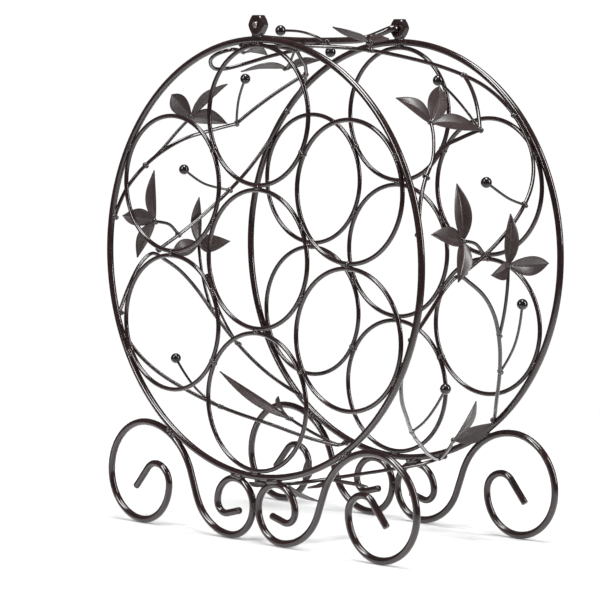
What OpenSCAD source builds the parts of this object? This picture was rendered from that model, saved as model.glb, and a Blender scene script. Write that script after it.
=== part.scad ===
// Welded wire wine rack. Two round frames of tangent bottle rings stand on scrolled feet and are
// tied together by twining vine wires with stamped leaves and berries. A wire handle hinges in
// two hex nuts on the crowns. The rack faces -Y, and z = 0 is the surface it stands on.

/* [Ring frames] */
// Radius of each big ring, to the middle of its wire
ring_r = 165; // [155:1:175]
// Thickness of the big rings' wire
ring_wire = 5.2; // [4.8:0.1:5.6]
// Thickness of the bottle rings' wire
cell_wire = 3.5; // [3:0.1:4]
// Distance from the front frame to the rear frame, middle to middle
frame_gap = 158; // [150:1:170]
// Height of the big rings' centres above the floor
ring_h = 215.5; // [214:0.5:218]

/* [Scrolled feet] */
// Thickness of the feet's wire
foot_wire = 5.5; // [5:0.1:6]
// Radii of the outer scroll from the floor up to where it meets the ring
rise_radii = [36, 42, 53];
// Radii of the outer scroll from the floor inwards to its straight tail
curl_radii = [31, 15, 12];
// Length of the outer scroll's straight tail
curl_tail = 22; // [18:1:24]
// Radii of the inner scroll from where the two feet meet, round to its straight tail
inner_radii = [19.5, 19, 9];
// Length of the inner scroll's straight tail
inner_tail = 14; // [10:1:16]
// Radius of the bend where the inner scroll meets the floor
floor_bend_r = 40; // [36:1:44]
// Lean of the stem from the vertical
stem_lean = 20; // [16:1:24]

/* [Handle] */
// Thickness of the handle's rod
rod_d = 5.5; // [5:0.1:6]
// Radial clearance of the rod in each nut
rod_play = 0.08; // [0.05:0.01:0.1]
// How far the grip rises above its hinge line
grip_rise = 29; // [27:0.5:30]
// Radius of the bend at each end of the handle, beside its nut
grip_bend_r = 6; // [5:0.5:8]
// Radius of the handle's corners
grip_corner_r = 14; // [12:1:16]
// How far the folded handle dips below the horizontal
rest_dip = 22; // [18:1:22]
// Nut width across its flats
nut_flats = 14.5; // [13:0.5:15]
// Nut thickness
nut_t = 6; // [5.5:0.1:7]
// Height of the hinge line above the big ring's wire, middle to middle
hinge_lift = 10.9; // [10.9:0.1:11.4]

/* [Vines] */
// Thickness of the vine wires
vine_wire = 3; // [2.6:0.1:3.2]
// Thickness of the berry stems
stem_wire = 2; // [1.8:0.1:2.2]
// Berry diameter
berry_d = 8.4; // [7:0.2:9]
// Thickness of the stamped leaves
leaf_t = 1.2; // [1:0.1:1.5]
// Width of a full-sized leaf
leaf_w = 15; // [13:0.5:16]
// How strongly a leaf is folded along its midrib
leaf_cup = 0.28; // [0.1:0.02:0.4]

/* [Hidden] */
$fn = 48;
// Three tangent bottle rings fill the inside width of the big ring.
cell_r = (ring_r - ring_wire / 2) / 3 - cell_wire / 2;
pitch = 2 * cell_r + cell_wire;
cell_bearing = [0, 60, 120, 180, 240, 300];
cell_names = ["middle", "top", "upper_right", "lower_right", "bottom", "lower_left", "upper_left"];
side_names = ["front", "rear"];
side_y = [-frame_gap / 2, frame_gap / 2];
// The vines lie on a drum that just meets the inner edges of the two big rings.
vine_r = ring_r - ring_wire / 2 + 0.1;
// Depth of the drum as the places on it state it, from the front frame back to the rear one.
drum_depth = 158;
// Weld beads: on the bottle rings, on the big ring, and the seat under each nut.
bead_d = 4.6;
ring_bead_d = 6.4;
seat_d = 4;
seat_half_length = 3.5;
floor_z = foot_wire / 2;
hinge_h = ring_h + ring_r + hinge_lift;

// The outer scroll touches the big ring from below, which sets how far out the foot stands.
scroll_centre_z = floor_z + rise_radii[0] + rise_radii[1] - rise_radii[2];
touch_dist = ring_r + (ring_wire + foot_wire) / 2 + rise_radii[2];
scroll_centre_x = sqrt(pow(touch_dist, 2) - pow(ring_h - scroll_centre_z, 2));
foot_x = scroll_centre_x + rise_radii[1] - rise_radii[0];
stem_heading = 270 - stem_lean;
stem_top = [scroll_centre_x, scroll_centre_z]
    + rise_radii[2] * [sin(stem_heading), -cos(stem_heading)];
stem_length = (stem_top[1] - floor_z - floor_bend_r * (1 + cos(stem_heading))) / -sin(stem_heading);
floor_bend_x = stem_top[0] + stem_length * cos(stem_heading) + floor_bend_r * sin(stem_heading);
// The outer tail, found by walking back from where the foot stands, then turned to face forwards.
curl_turn = 50;
inner_turn = 105;
curl_back = walk([foot_x, floor_z, 180],
    [[curl_radii[0], -90], [curl_radii[1], -90], [curl_radii[2], -curl_turn], [0, curl_tail]])[4];
curl_end = [curl_back[0], curl_back[1], curl_back[2] + 180];
// The two feet of one frame lie side by side on the middle line.
twin_gap = 0.4;
inner_side_r = floor_bend_x - foot_wire / 2 - twin_gap / 2;
inner_top_x = floor_bend_x - inner_side_r + inner_radii[0];
inner_top_z = floor_z + inner_side_r + inner_radii[0];

// Handle outline: from each nut a bend, a straight arm and a corner lead to one shallow arc.
pin_shoulder = 1;
arm_turn = 74;
bow_turn = 8;
grip_half = frame_gap / 2 - nut_t / 2 - pin_shoulder;
corner_rise = grip_bend_r * (1 - cos(arm_turn)) + grip_corner_r * (cos(bow_turn) - cos(arm_turn));
corner_reach = grip_bend_r * sin(arm_turn) + grip_corner_r * (sin(arm_turn) - sin(bow_turn));
arm_length = (grip_rise - corner_rise - tan(bow_turn / 2) * (grip_half - corner_reach))
    / (sin(arm_turn) - tan(bow_turn / 2) * cos(arm_turn));
bow_r = (grip_half - corner_reach - arm_length * cos(arm_turn)) / sin(bow_turn);
// How far each pin stands out of its nut, the bevel on its end, and how deep the grip goes into it.
pin_proud = 1.5;
pin_chamfer = 0.8;
pin_let_in = 2;
// The grip's flats are this much under the pins' size, so its corners stay inside them.
grip_shy = 0.1;

nut_names = [for (s = side_names) str(s, "_hinge_nut")];
ring_names = [for (s = side_names) str(s, "_ring")];
weld_names = [for (s = side_names) str(s, "_welds")];
foot_names = [for (s = side_names, h = ["right", "left"]) str(s, "_", h, "_foot")];
front_cells = [for (c = cell_names) str("front_cell_", c)];
rear_cells = [for (c = cell_names) str("rear_cell_", c)];
vine_parts = ["crown_wire", "spray_wire", "link_wire", "hoop_wire", "low_wire", "twig_wires", "berry_stems",
    "berries", "upper_leaves", "middle_leaves", "side_leaves", "low_leaves"];
right_vine = [for (v = vine_parts) str("right_", v)];
left_vine = [for (v = vine_parts) str("left_", v)];

iron = [0.13, 0.1, 0.09];
leaf_iron = [0.2, 0.16, 0.14];
berry_iron = [0.09, 0.08, 0.08];

// ---- shared shapes ----

function unit(v) = v / norm(v);

// Middle of bottle ring i in the frame's plane, as [x, z]; ring 0 is the middle one.
function cell_at(i) = i == 0 ? [0, ring_h]
    : [pitch * sin(cell_bearing[i - 1]), ring_h + pitch * cos(cell_bearing[i - 1])];

// A wire circle of radius r standing in the plane of a frame.
module hoop(r, wire) {
    rotate([90, 0, 0]) rotate_extrude($fn = 96) translate([r, 0]) circle(d = wire, $fn = 24);
}

// Walk along tangent arcs in the x-z plane. A state is [x, z, heading]; a step is [radius, turn],
// where a positive turn is to the left and a radius of 0 makes the turn a straight length.
function next_state(s, step) = step[0] == 0
    ? [s[0] + step[1] * cos(s[2]), s[1] + step[1] * sin(s[2]), s[2]]
    : let(side = sign(step[1]), c = arc_centre(s, step), h = s[2] + step[1])
        [c[0] + side * step[0] * sin(h), c[1] - side * step[0] * cos(h), h];
function arc_centre(s, step) =
    [s[0] - sign(step[1]) * step[0] * sin(s[2]), s[1] + sign(step[1]) * step[0] * cos(s[2])];
function walk(s, steps, i = 0) = i == len(steps) ? [s]
    : concat([s], walk(next_state(s, steps[i]), steps, i + 1));

// A closed skin over rings of points that all have the same number of corners.
module skin(rings) {
    m = len(rings[0]);
    n = len(rings) - 1;
    polyhedron(
        points = [for (r = rings) for (p = r) p],
        faces = concat(
            [[for (k = [0 : m - 1]) k]],
            [[for (k = [m - 1 : -1 : 0]) n * m + k]],
            [for (i = [0 : n - 1], k = [0 : m - 1]) [i * m + k, (i + 1) * m + (k + 1) % m, i * m + (k + 1) % m]],
            [for (i = [0 : n - 1], k = [0 : m - 1]) [i * m + k, (i + 1) * m + k, (i + 1) * m + (k + 1) % m]]));
}

// ---- places on the vine drum ----
// A place is [bearing from the top, depth behind the front frame, lift off the drum].

function lift_of(p) = len(p) > 2 ? p[2] : 0;
function full(p) = [p[0], p[1], lift_of(p)];
function drum(p) = [
    (vine_r + p[2]) * sin(p[0]),
    side_y[0] + p[1] * frame_gap / drum_depth,
    ring_h + (vine_r + p[2]) * cos(p[0])];
function outward(q) = unit([q[0], 0, q[2] - ring_h]);

function blend_at(a, b, c, d, t) = 0.5 * (2 * b + (c - a) * t
    + (2 * a - 5 * b + 4 * c - d) * t * t + (3 * b - a - 3 * c + d) * t * t * t);
function smooth(pts, n) = let(m = len(pts) - 1) [
    for (i = [0 : m - 1], k = [0 : n - 1])
        blend_at(pts[max(i - 1, 0)], pts[i], pts[i + 1], pts[min(i + 2, m)], k / n),
    pts[m]];

// A round wire through the listed places, n straight facets from place to place.
module vine(route, wire = vine_wire, n = 4) {
    path = [for (p = smooth([for (q = route) full(q)], n)) drum(p)];
    m = len(path) - 1;
    skin([for (i = [0 : m])
        let(t = unit(path[min(i + 1, m)] - path[max(i - 1, 0)]), o = outward(path[i]),
            u = unit(o - (o * t) * t), w = cross(t, u))
        [for (k = [0 : 5]) path[i] + wire / 2 * (cos(60 * k) * u + sin(60 * k) * w)]]);
}

// A stamped leaf from its root to its tip, folded along the midrib and bowed off the drum.
module leaf(root, tip, width = leaf_w, bow = 2, roll = 0) {
    a = drum(full(root));
    b = drum(full(tip));
    t = unit(b - a);
    o = outward((a + b) / 2);
    flat_n = unit(o - (o * t) * t);
    flat_s = cross(t, flat_n);
    nrm = flat_n * cos(roll) + flat_s * sin(roll);
    side = cross(t, nrm);
    stations = 7;
    skin([for (i = [0 : stations])
        let(f = i / stations, half = max(0.5, width / 2 * pow(sin(180 * pow(f, 0.85)), 0.9)),
            mid = a + (b - a) * f + nrm * bow * sin(180 * f),
            edge = half * side, fold = nrm * half * leaf_cup, skin_t = nrm * leaf_t / 2)
        [mid + skin_t, mid + edge + fold + skin_t, mid + edge + fold - skin_t, mid - skin_t,
            mid - edge + fold - skin_t, mid - edge + fold + skin_t]]);
}

// Points along a walk, about every corner degrees of turn.
function walk_path(start, steps, corner = 12) = let(states = walk(start, steps)) concat(
    [for (i = [0 : len(steps) - 1]) let(cuts = steps[i][0] == 0 ? 1 : ceil(abs(steps[i][1]) / corner))
        for (k = [0 : cuts - 1]) let(q = next_state(states[i], [steps[i][0], steps[i][1] * k / cuts]))
            [q[0], 0, q[1]]],
    [let(q = states[len(steps)]) [q[0], 0, q[1]]]);

// A wire with flats along a path in the x-z plane; its size is held across the corners.
module flat_sided_wire(path, wire, sides = 8) {
    m = len(path) - 1;
    skin([for (i = [0 : m])
        let(t = unit(path[min(i + 1, m)] - path[max(i - 1, 0)]), u = [0, 1, 0], w = cross(t, u))
        [for (k = [0 : sides - 1]) path[i] + wire / 2 * (cos(360 * k / sides) * u + sin(360 * k / sides) * w)]]);
}

module berry(place) translate(drum(full(place))) sphere(d = berry_d, $fn = 32);

// ---- the two frames ----

module big_ring(s) color(iron) translate([0, side_y[s], ring_h]) hoop(ring_r, ring_wire);

module cell_ring(s, i) color(iron) translate([cell_at(i)[0], side_y[s], cell_at(i)[1]]) hoop(cell_r, cell_wire);

module weld_bead(x, z, s, d) translate([x, side_y[s], z]) sphere(d = d, $fn = 24);

// Weld beads of one frame: ring to ring, ring to big ring, foot to big ring, nut and foot to foot.
module frame_welds(s) color(iron) {
    for (i = [0 : 5]) {
        b = cell_bearing[i];
        inner = pitch / 2;
        outer = pitch * cos(30);
        rim = ring_r - ring_wire / 2;
        weld_bead(inner * sin(b), ring_h + inner * cos(b), s, bead_d);
        weld_bead(outer * sin(b + 30), ring_h + outer * cos(b + 30), s, bead_d);
        weld_bead(rim * sin(b), ring_h + rim * cos(b), s, bead_d);
    }
    touch = ring_r + ring_wire / 2;
    touch_bearing = atan2(scroll_centre_x, scroll_centre_z - ring_h);
    for (h = [1, -1]) {
        weld_bead(h * touch * sin(touch_bearing), ring_h + touch * cos(touch_bearing), s, ring_bead_d);
        weld_bead(h * inner_top_x, (inner_top_z + ring_h - sqrt(pow(ring_r, 2) - pow(inner_top_x, 2))) / 2,
            s, ring_bead_d);
    }
    weld_bead(0, floor_z + inner_side_r, s, ring_bead_d);
    seat_z = ring_h + ring_r + (ring_wire / 2 + hinge_lift - nut_flats / 2) / 2;
    translate([-seat_half_length, side_y[s], seat_z]) rotate([0, 90, 0])
        cylinder(d = seat_d, h = 2 * seat_half_length, $fn = 24);
    for (x = [-seat_half_length, seat_half_length]) weld_bead(x, seat_z, s, seat_d);
}

// One foot: a single rod bent from the outer tail, over the ring's side and down to the inner tail.
module foot(s, h) color(iron) translate([0, side_y[s], 0]) mirror([h, 0, 0])
    flat_sided_wire(walk_path(curl_end, [
        [0, curl_tail], [curl_radii[2], curl_turn], [curl_radii[1], 90], [curl_radii[0], 90],
        [rise_radii[0], 90], [rise_radii[1], 90], [rise_radii[2], 90 - stem_lean], [0, stem_length],
        [floor_bend_r, stem_lean - 90], [inner_side_r, -90], [inner_radii[0], -90],
        [inner_radii[1], -90], [inner_radii[2], -inner_turn], [0, inner_tail]]), foot_wire);

// ---- hinge ----

module hinge_nut(s) color(iron) translate([0, side_y[s], hinge_h]) rotate([90, 0, 0]) difference() {
    cylinder(d = nut_flats / cos(30), h = nut_t, center = true, $fn = 6);
    cylinder(d = rod_d + 2 * rod_play, h = nut_t + 2, center = true, $fn = 48);
}

// The handle in its folded place: it lies over to the left, just above the crown wires. Its pins
// are true round rods, and the grip between them is let a little way into each.
module handle() color(iron) translate([0, 0, hinge_h]) rotate([0, -90 - rest_dip, 0]) rotate([0, 0, 90]) {
    flat_sided_wire(walk_path([-grip_half - pin_let_in, 0, 0], [[0, pin_let_in], [grip_bend_r, arm_turn],
        [0, arm_length], [grip_corner_r, bow_turn - arm_turn], [bow_r, -2 * bow_turn],
        [grip_corner_r, bow_turn - arm_turn], [0, arm_length], [grip_bend_r, arm_turn], [0, pin_let_in]], 6),
        rod_d - grip_shy);
    pin = nut_t + pin_shoulder + pin_proud;
    for (h = [0, 1]) mirror([h, 0, 0]) translate([grip_half, 0, 0]) rotate([0, 90, 0]) {
        cylinder(d = rod_d, h = pin - pin_chamfer, $fn = 48);
        translate([0, 0, pin - pin_chamfer])
            cylinder(d1 = rod_d, d2 = rod_d - 2 * pin_chamfer, h = pin_chamfer, $fn = 48);
    }
}

// ---- vine on the right side; the left side mirrors it ----

crown_route = [[7, 0.5], [8, 20], [10, 50], [14, 80], [20, 103], [27, 128], [35, 147], [44, 154.6], [53, 155],
    [61, 151], [68, 141], [74, 126], [80, 105], [86, 78], [91, 50]];
spray_route = [[81, 0.5], [72, 10], [64, 28], [58, 52], [55, 78], [52.5, 105]];
link_route = [[31, 139], [37, 131], [44, 120], [52.5, 105]];
hoop_route = [[108, 0.5], [101, 15], [95, 29], [92, 43], [94, 57], [98, 75], [104, 91], [112, 105], [119, 116],
    [131, 136], [141, 157.5]];
low_route = [[115, 0.5], [121, 8], [127, 20], [133, 37], [141, 62], [150, 95], [157, 124, 4], [161, 147, 7],
    [161.5, 157.3, 5.8]];
upper_hub = [50.5, 52, 2];
middle_hub = [83, 47, 2];
side_hub = [90, 97, 2];
low_hub = [148, 127, 3];

module right_crown_wire() color(iron) vine(crown_route);
module right_spray_wire() color(iron) vine(spray_route);
module right_link_wire() color(iron) vine(link_route);
module right_hoop_wire() color(iron) vine(hoop_route);
module right_low_wire() color(iron) vine(low_route);

// Short twigs that carry the leaf hubs.
module right_twig_wires() color(iron) {
    vine([[66, 23], [61, 36, 1], [55, 46, 2], upper_hub]);
    vine([[87, 72], [84, 62, 1], middle_hub], stem_wire);
    vine([[109, 101], [101, 99, 1], side_hub]);
    vine([[161, 148, 7], [156, 140, 5.5], [151, 132, 4], low_hub]);
}

module right_berry_stems() color(iron) {
    vine([[52.5, 105], [45, 96, 4], [37, 88, 7]], stem_wire);
    vine([[74.5, 125], [73, 100, 6], [69, 76, 9]], stem_wire);
    vine([[120.5, 119], [111, 116, 5], [100, 111, 7]], stem_wire);
    vine([[141, 62], [133, 56, 5], [122, 52, 7]], stem_wire);
}

module right_berries() color(berry_iron) {
    berry([37, 88, 7]);
    berry([69, 76, 9]);
    berry([100, 111, 7]);
    berry([122, 52, 7]);
}

module right_upper_leaves() color(leaf_iron) {
    leaf(upper_hub, [44, 23, 8], leaf_w, 3, -12);
    leaf(upper_hub, [40.5, 78, 10], leaf_w + 1);
    leaf(upper_hub, [53.5, 99, 4], leaf_w, 3);
}

module right_middle_leaves() color(leaf_iron) {
    leaf(middle_hub, [69, 43, 9], leaf_w, 2, -15);
    leaf(middle_hub, [93, 34, 8], leaf_w, 2, 8);
    leaf(middle_hub, [81, 12, 3], leaf_w, 1.5, 15);
}

module right_side_leaves() color(leaf_iron) {
    leaf(side_hub, [77, 98, 7], leaf_w - 1, 1, -8);
    leaf(side_hub, [90, 138, 7], leaf_w, 3, 10);
    leaf(side_hub, [92, 72, 7], leaf_w - 1, 2, -8);
}

module right_low_leaves() color(leaf_iron) {
    leaf(low_hub, [127, 95, 9], leaf_w - 3, 2, 5);
    leaf(low_hub, [137.5, 141, 8], leaf_w, 2, -40);
}

// Vine part number i of the right side.
module vine_part(i) {
    if (i == 0) right_crown_wire();
    if (i == 1) right_spray_wire();
    if (i == 2) right_link_wire();
    if (i == 3) right_hoop_wire();
    if (i == 4) right_low_wire();
    if (i == 5) right_twig_wires();
    if (i == 6) right_berry_stems();
    if (i == 7) right_berries();
    if (i == 8) right_upper_leaves();
    if (i == 9) right_middle_leaves();
    if (i == 10) right_side_leaves();
    if (i == 11) right_low_leaves();
}

// ---- crown and floor sprigs ----

module floor_wire() color(iron)
    vine([[163, 157.3, 5.8], [165, 140, 8], [167, 110, 8.5], [168, 75, 8.5], [169, 44, 8.5], [172, 18, 8.5],
        [177, 5, 7.2], [180, 0.8, 6.2]]);

// A tendril curls behind the front ring and crosses the crown to the hub of the two berries.
module crown_tendril() color(iron)
    vine([[-18, 35, 1], [-15.5, 21, 1], [-15, 12, 0.5], [-18, 7, 0], [-23, 12, 0], [-28, 28, 0], [-28, 43, 0],
        [-24, 58, 0], [-19, 69, 0], [-14, 80, 0], [-9, 79, -1.5], [-4, 75, 0], [1, 70, 2]]);

module crown_stems() color(iron) {
    vine([[1, 70, 2], [1, 58, 6], [-0.6, 46, 9.2], [-3, 33, 10]], stem_wire);
    vine([[1, 70, 2], [2, 73, -2], [2, 73, -6]], stem_wire);
    vine([[14, 80], [9, 97, -1.2], [3, 114, 2]], stem_wire);
    vine([[-14, 80], [-20, 95, 1.5], [-25, 106, 2], [-29, 112, 2]], stem_wire);
}

module crown_berries() color(berry_iron) {
    berry([-3, 33, 10]);
    berry([2, 73, -6]);
}

module crown_leaves() color(leaf_iron) {
    leaf([3, 114, 2], [1, 78, 13], leaf_w - 3, -1, 15);
    leaf([3, 114, 2], [2, 139, 5], leaf_w - 3, 1, 22);
    leaf([-18, 35, 1], [-18.5, 62, 0], leaf_w - 2, 2);
    leaf([-29, 112, 2], [-31, 66, 2], leaf_w - 2, 2, -8);
    leaf([-29, 112, 2], [-23, 134, 1], leaf_w - 3, 1, -14);
}

module floor_leaves() color(leaf_iron) {
    leaf([169, 44, 9], [169, 88, 19], leaf_w - 3, -1, 15);
    leaf([169, 44, 9], [170, 25, 13], leaf_w - 3, 1);
    leaf([171, 26, 8.5], [169, 25, -9], leaf_w - 5, 1);
    leaf([177, 10, 8], [187, 14, 12], leaf_w - 3, 1);
    leaf([173, 14, 10], [172, 42, 25], leaf_w - 4, 1);
}

for (s = [0, 1]) {
    big_ring(s);
    frame_welds(s);
    hinge_nut(s);
    for (h = [0, 1]) foot(s, h);
}
for (i = [0 : 6]) {
    cell_ring(0, i);
    cell_ring(1, i);
}
for (i = [0 : len(vine_parts) - 1]) {
    vine_part(i);
    mirror([1, 0, 0]) vine_part(i);
}
handle();
floor_wire();
crown_tendril();
crown_stems();
crown_berries();
crown_leaves();
floor_leaves();
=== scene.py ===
"""Welded wire wine rack: ring frames, scrolled feet, leafy vine wires and a folding handle."""

import logging
import math
from dataclasses import dataclass, field
from enum import Enum
from typing import Iterable, Optional, Sequence

import bpy
from mathutils import Matrix, Vector


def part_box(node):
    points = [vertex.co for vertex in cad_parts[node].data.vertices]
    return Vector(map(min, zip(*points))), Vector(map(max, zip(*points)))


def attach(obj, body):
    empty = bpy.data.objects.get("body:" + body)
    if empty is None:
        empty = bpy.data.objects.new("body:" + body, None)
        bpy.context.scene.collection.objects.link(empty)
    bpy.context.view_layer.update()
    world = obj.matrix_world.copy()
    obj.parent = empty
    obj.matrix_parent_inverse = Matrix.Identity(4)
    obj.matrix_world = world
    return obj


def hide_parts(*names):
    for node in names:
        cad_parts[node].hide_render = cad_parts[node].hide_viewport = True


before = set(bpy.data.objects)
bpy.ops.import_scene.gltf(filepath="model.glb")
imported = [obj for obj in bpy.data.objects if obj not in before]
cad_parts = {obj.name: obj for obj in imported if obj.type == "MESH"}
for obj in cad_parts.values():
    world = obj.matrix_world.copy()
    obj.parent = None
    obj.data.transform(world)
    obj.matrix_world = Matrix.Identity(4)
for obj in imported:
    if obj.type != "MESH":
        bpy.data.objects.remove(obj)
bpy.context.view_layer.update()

log = logging.getLogger("wine_rack")
MM = 0.001
# Angles in degrees past which an edge stays crisp.
CRISP_FACETS = 18.0
CRISP_CUTS = 50.0
CRISP_RIMS = 60.0
NEVER_CRISP = 180.0
# Bends per metre in a hand-bent wire's stray from its line.
WANDER_GRAIN = 22.0

Colour = tuple[float, float, float]
Place = Sequence[float]


# --------------------------------------------------------------------------------------------
# Named options
# --------------------------------------------------------------------------------------------

class Body(Enum):
    """The two bodies of the rack that move against each other."""

    RACK = "rack"
    HANDLE = "handle"


class Side(Enum):
    """The two ring frames."""

    FRONT = "front"
    REAR = "rear"


class Hand(Enum):
    """The two mirrored halves of the rack, with the sign of their x."""

    RIGHT = 1
    LEFT = -1

    @property
    def word(self) -> str:
        """The hand's name as the node names spell it."""
        return self.name.lower()


# --------------------------------------------------------------------------------------------
# Finishes
# --------------------------------------------------------------------------------------------

@dataclass(frozen=True)
class LacqueredIron:
    """Brown-black lacquer over rough iron, with a little colour and gloss variation."""

    name: str
    slot: str
    deep: Colour
    body: Colour
    rubbed: Colour
    gloss_rough: float
    dull_rough: float
    coat: float
    coat_rough: float
    grain_depth: float
    mottle_scale: float = 70.0
    grain_scale: float = 640.0
    ripple_scale: float = 210.0
    metallic: float = 0.0
    specular: float = 0.3

    def material(self) -> bpy.types.Material:
        """Build the node material once and hand out the same one afterwards.

        Returns:
            The finished material.
        """
        ready = bpy.data.materials.get(self.name)
        if ready:
            return ready
        mat = bpy.data.materials.new(self.name)
        mat.use_nodes = True
        nodes, links = mat.node_tree.nodes, mat.node_tree.links
        shader = nodes["Principled BSDF"]
        shader.inputs["Metallic"].default_value = self.metallic
        shader.inputs["Specular IOR Level"].default_value = self.specular
        shader.inputs["Coat Weight"].default_value = self.coat
        shader.inputs["Coat Roughness"].default_value = self.coat_rough
        coords = nodes.new("ShaderNodeTexCoord").outputs["Object"]

        mottle = self._noise(nodes, links, coords, self.mottle_scale, 5.0, 0.6)
        tone = nodes.new("ShaderNodeValToRGB")
        self._stops(tone, ((0.3, self.deep), (0.55, self.body), (0.8, self.deep)))
        links.new(mottle, tone.inputs["Fac"])

        rub = self._noise(nodes, links, coords, self.mottle_scale * 3.7, 3.0, 0.5)
        rub_mask = nodes.new("ShaderNodeMapRange")
        rub_mask.inputs["From Min"].default_value = 0.6
        rub_mask.inputs["From Max"].default_value = 0.74
        rub_mask.inputs["To Max"].default_value = 0.7
        links.new(rub, rub_mask.inputs["Value"])
        mix = nodes.new("ShaderNodeMix")
        mix.data_type = "RGBA"
        mix.inputs["B"].default_value = (*self.rubbed, 1.0)
        links.new(rub_mask.outputs["Result"], mix.inputs["Factor"])
        links.new(tone.outputs["Color"], mix.inputs["A"])
        links.new(mix.outputs["Result"], shader.inputs["Base Color"])

        gloss = nodes.new("ShaderNodeMapRange")
        gloss.inputs["From Min"].default_value = 0.3
        gloss.inputs["From Max"].default_value = 0.7
        gloss.inputs["To Min"].default_value = self.gloss_rough
        gloss.inputs["To Max"].default_value = self.dull_rough
        ripple = self._noise(nodes, links, coords, self.ripple_scale, 3.0, 0.5)
        links.new(ripple, gloss.inputs["Value"])
        links.new(gloss.outputs["Result"], shader.inputs["Roughness"])

        ripple_bump = self._bump(nodes, links, ripple, 0.4, self.grain_depth * 3.0, None)
        grain = self._noise(nodes, links, coords, self.grain_scale, 2.0, 0.45)
        grain_bump = self._bump(nodes, links, grain, 0.5, self.grain_depth, ripple_bump)
        links.new(grain_bump, shader.inputs["Normal"])
        return mat

    @staticmethod
    def _noise(nodes: bpy.types.Nodes, links: bpy.types.NodeLinks, coords: bpy.types.NodeSocket,
               scale: float, detail: float, rough: float) -> bpy.types.NodeSocket:
        """One noise on the given coordinates.

        Args:
            nodes: The tree's nodes.
            links: The tree's links.
            coords: Where the noise is read.
            scale: Features per metre.
            detail: Octaves.
            rough: Weight of each finer octave.

        Returns:
            The noise's value.
        """
        noise = nodes.new("ShaderNodeTexNoise")
        noise.inputs["Scale"].default_value = scale
        noise.inputs["Detail"].default_value = detail
        noise.inputs["Roughness"].default_value = rough
        links.new(coords, noise.inputs["Vector"])
        return noise.outputs["Fac"]

    @staticmethod
    def _bump(nodes: bpy.types.Nodes, links: bpy.types.NodeLinks, height: bpy.types.NodeSocket,
              strength: float, depth: float,
              under: Optional[bpy.types.NodeSocket]) -> bpy.types.NodeSocket:
        """A bump on top of another one.

        Args:
            nodes: The tree's nodes.
            links: The tree's links.
            height: The height map.
            strength: How much of the bump is used.
            depth: Height of the bump in metres.
            under: The normal that it is laid over.

        Returns:
            The bumped normal.
        """
        bump = nodes.new("ShaderNodeBump")
        bump.inputs["Strength"].default_value = strength
        bump.inputs["Distance"].default_value = depth
        links.new(height, bump.inputs["Height"])
        if under is not None:
            links.new(under, bump.inputs["Normal"])
        return bump.outputs["Normal"]

    @staticmethod
    def _stops(ramp: bpy.types.ShaderNodeValToRGB, stops: Iterable[tuple[float, Colour]]) -> None:
        """Fill a colour ramp.

        Args:
            ramp: The ramp node.
            stops: Position and colour of each stop, from left to right.
        """
        elements = ramp.color_ramp.elements
        while len(elements) > 1:
            elements.remove(elements[-1])
        for i, (at, colour) in enumerate(stops):
            stop = elements[0] if i == 0 else elements.new(at)
            stop.position = at
            stop.color = (*colour, 1.0)


WIRE_IRON = LacqueredIron(
    "wire_lacquer", "wire_iron",
    deep=(0.0070, 0.0030, 0.0030), body=(0.0165, 0.0072, 0.0074), rubbed=(0.034, 0.019, 0.018),
    gloss_rough=0.11, dull_rough=0.19, coat=0.55, coat_rough=0.04, grain_depth=0.000008)
LEAF_IRON = LacqueredIron(
    "leaf_lacquer", "leaf_iron",
    deep=(0.0180, 0.0108, 0.0104), body=(0.0300, 0.0190, 0.0184), rubbed=(0.052, 0.038, 0.036),
    gloss_rough=0.30, dull_rough=0.44, coat=0.22, coat_rough=0.20, grain_depth=0.000020,
    mottle_scale=95.0, ripple_scale=160.0)
BERRY_IRON = LacqueredIron(
    "berry_lacquer", "berry_iron",
    deep=(0.0050, 0.0030, 0.0030), body=(0.0095, 0.0056, 0.0056), rubbed=(0.020, 0.014, 0.013),
    gloss_rough=0.10, dull_rough=0.18, coat=0.5, coat_rough=0.04, grain_depth=0.000006, specular=0.2)
WELD_IRON = LacqueredIron(
    "weld_lacquer", "weld_iron",
    deep=(0.0080, 0.0042, 0.0040), body=(0.0175, 0.0096, 0.0092), rubbed=(0.045, 0.031, 0.028),
    gloss_rough=0.16, dull_rough=0.32, coat=0.6, coat_rough=0.08, grain_depth=0.00003, grain_scale=420.0)
PIN_IRON = LacqueredIron(
    "nut_lacquer", "wire_iron",
    deep=(0.0080, 0.0036, 0.0036), body=(0.0175, 0.0078, 0.0078), rubbed=(0.050, 0.034, 0.031),
    gloss_rough=0.14, dull_rough=0.28, coat=0.55, coat_rough=0.07, grain_depth=0.00002, mottle_scale=160.0)
BARE_IRON = LacqueredIron(
    "worn_pin", "wire_iron",
    deep=(0.16, 0.13, 0.12), body=(0.34, 0.30, 0.28), rubbed=(0.52, 0.48, 0.45),
    gloss_rough=0.20, dull_rough=0.36, coat=0.1, coat_rough=0.10, grain_depth=0.00003,
    mottle_scale=420.0, metallic=0.85, specular=0.5)


# --------------------------------------------------------------------------------------------
# Node trees that make the wires and the balls
# --------------------------------------------------------------------------------------------

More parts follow.
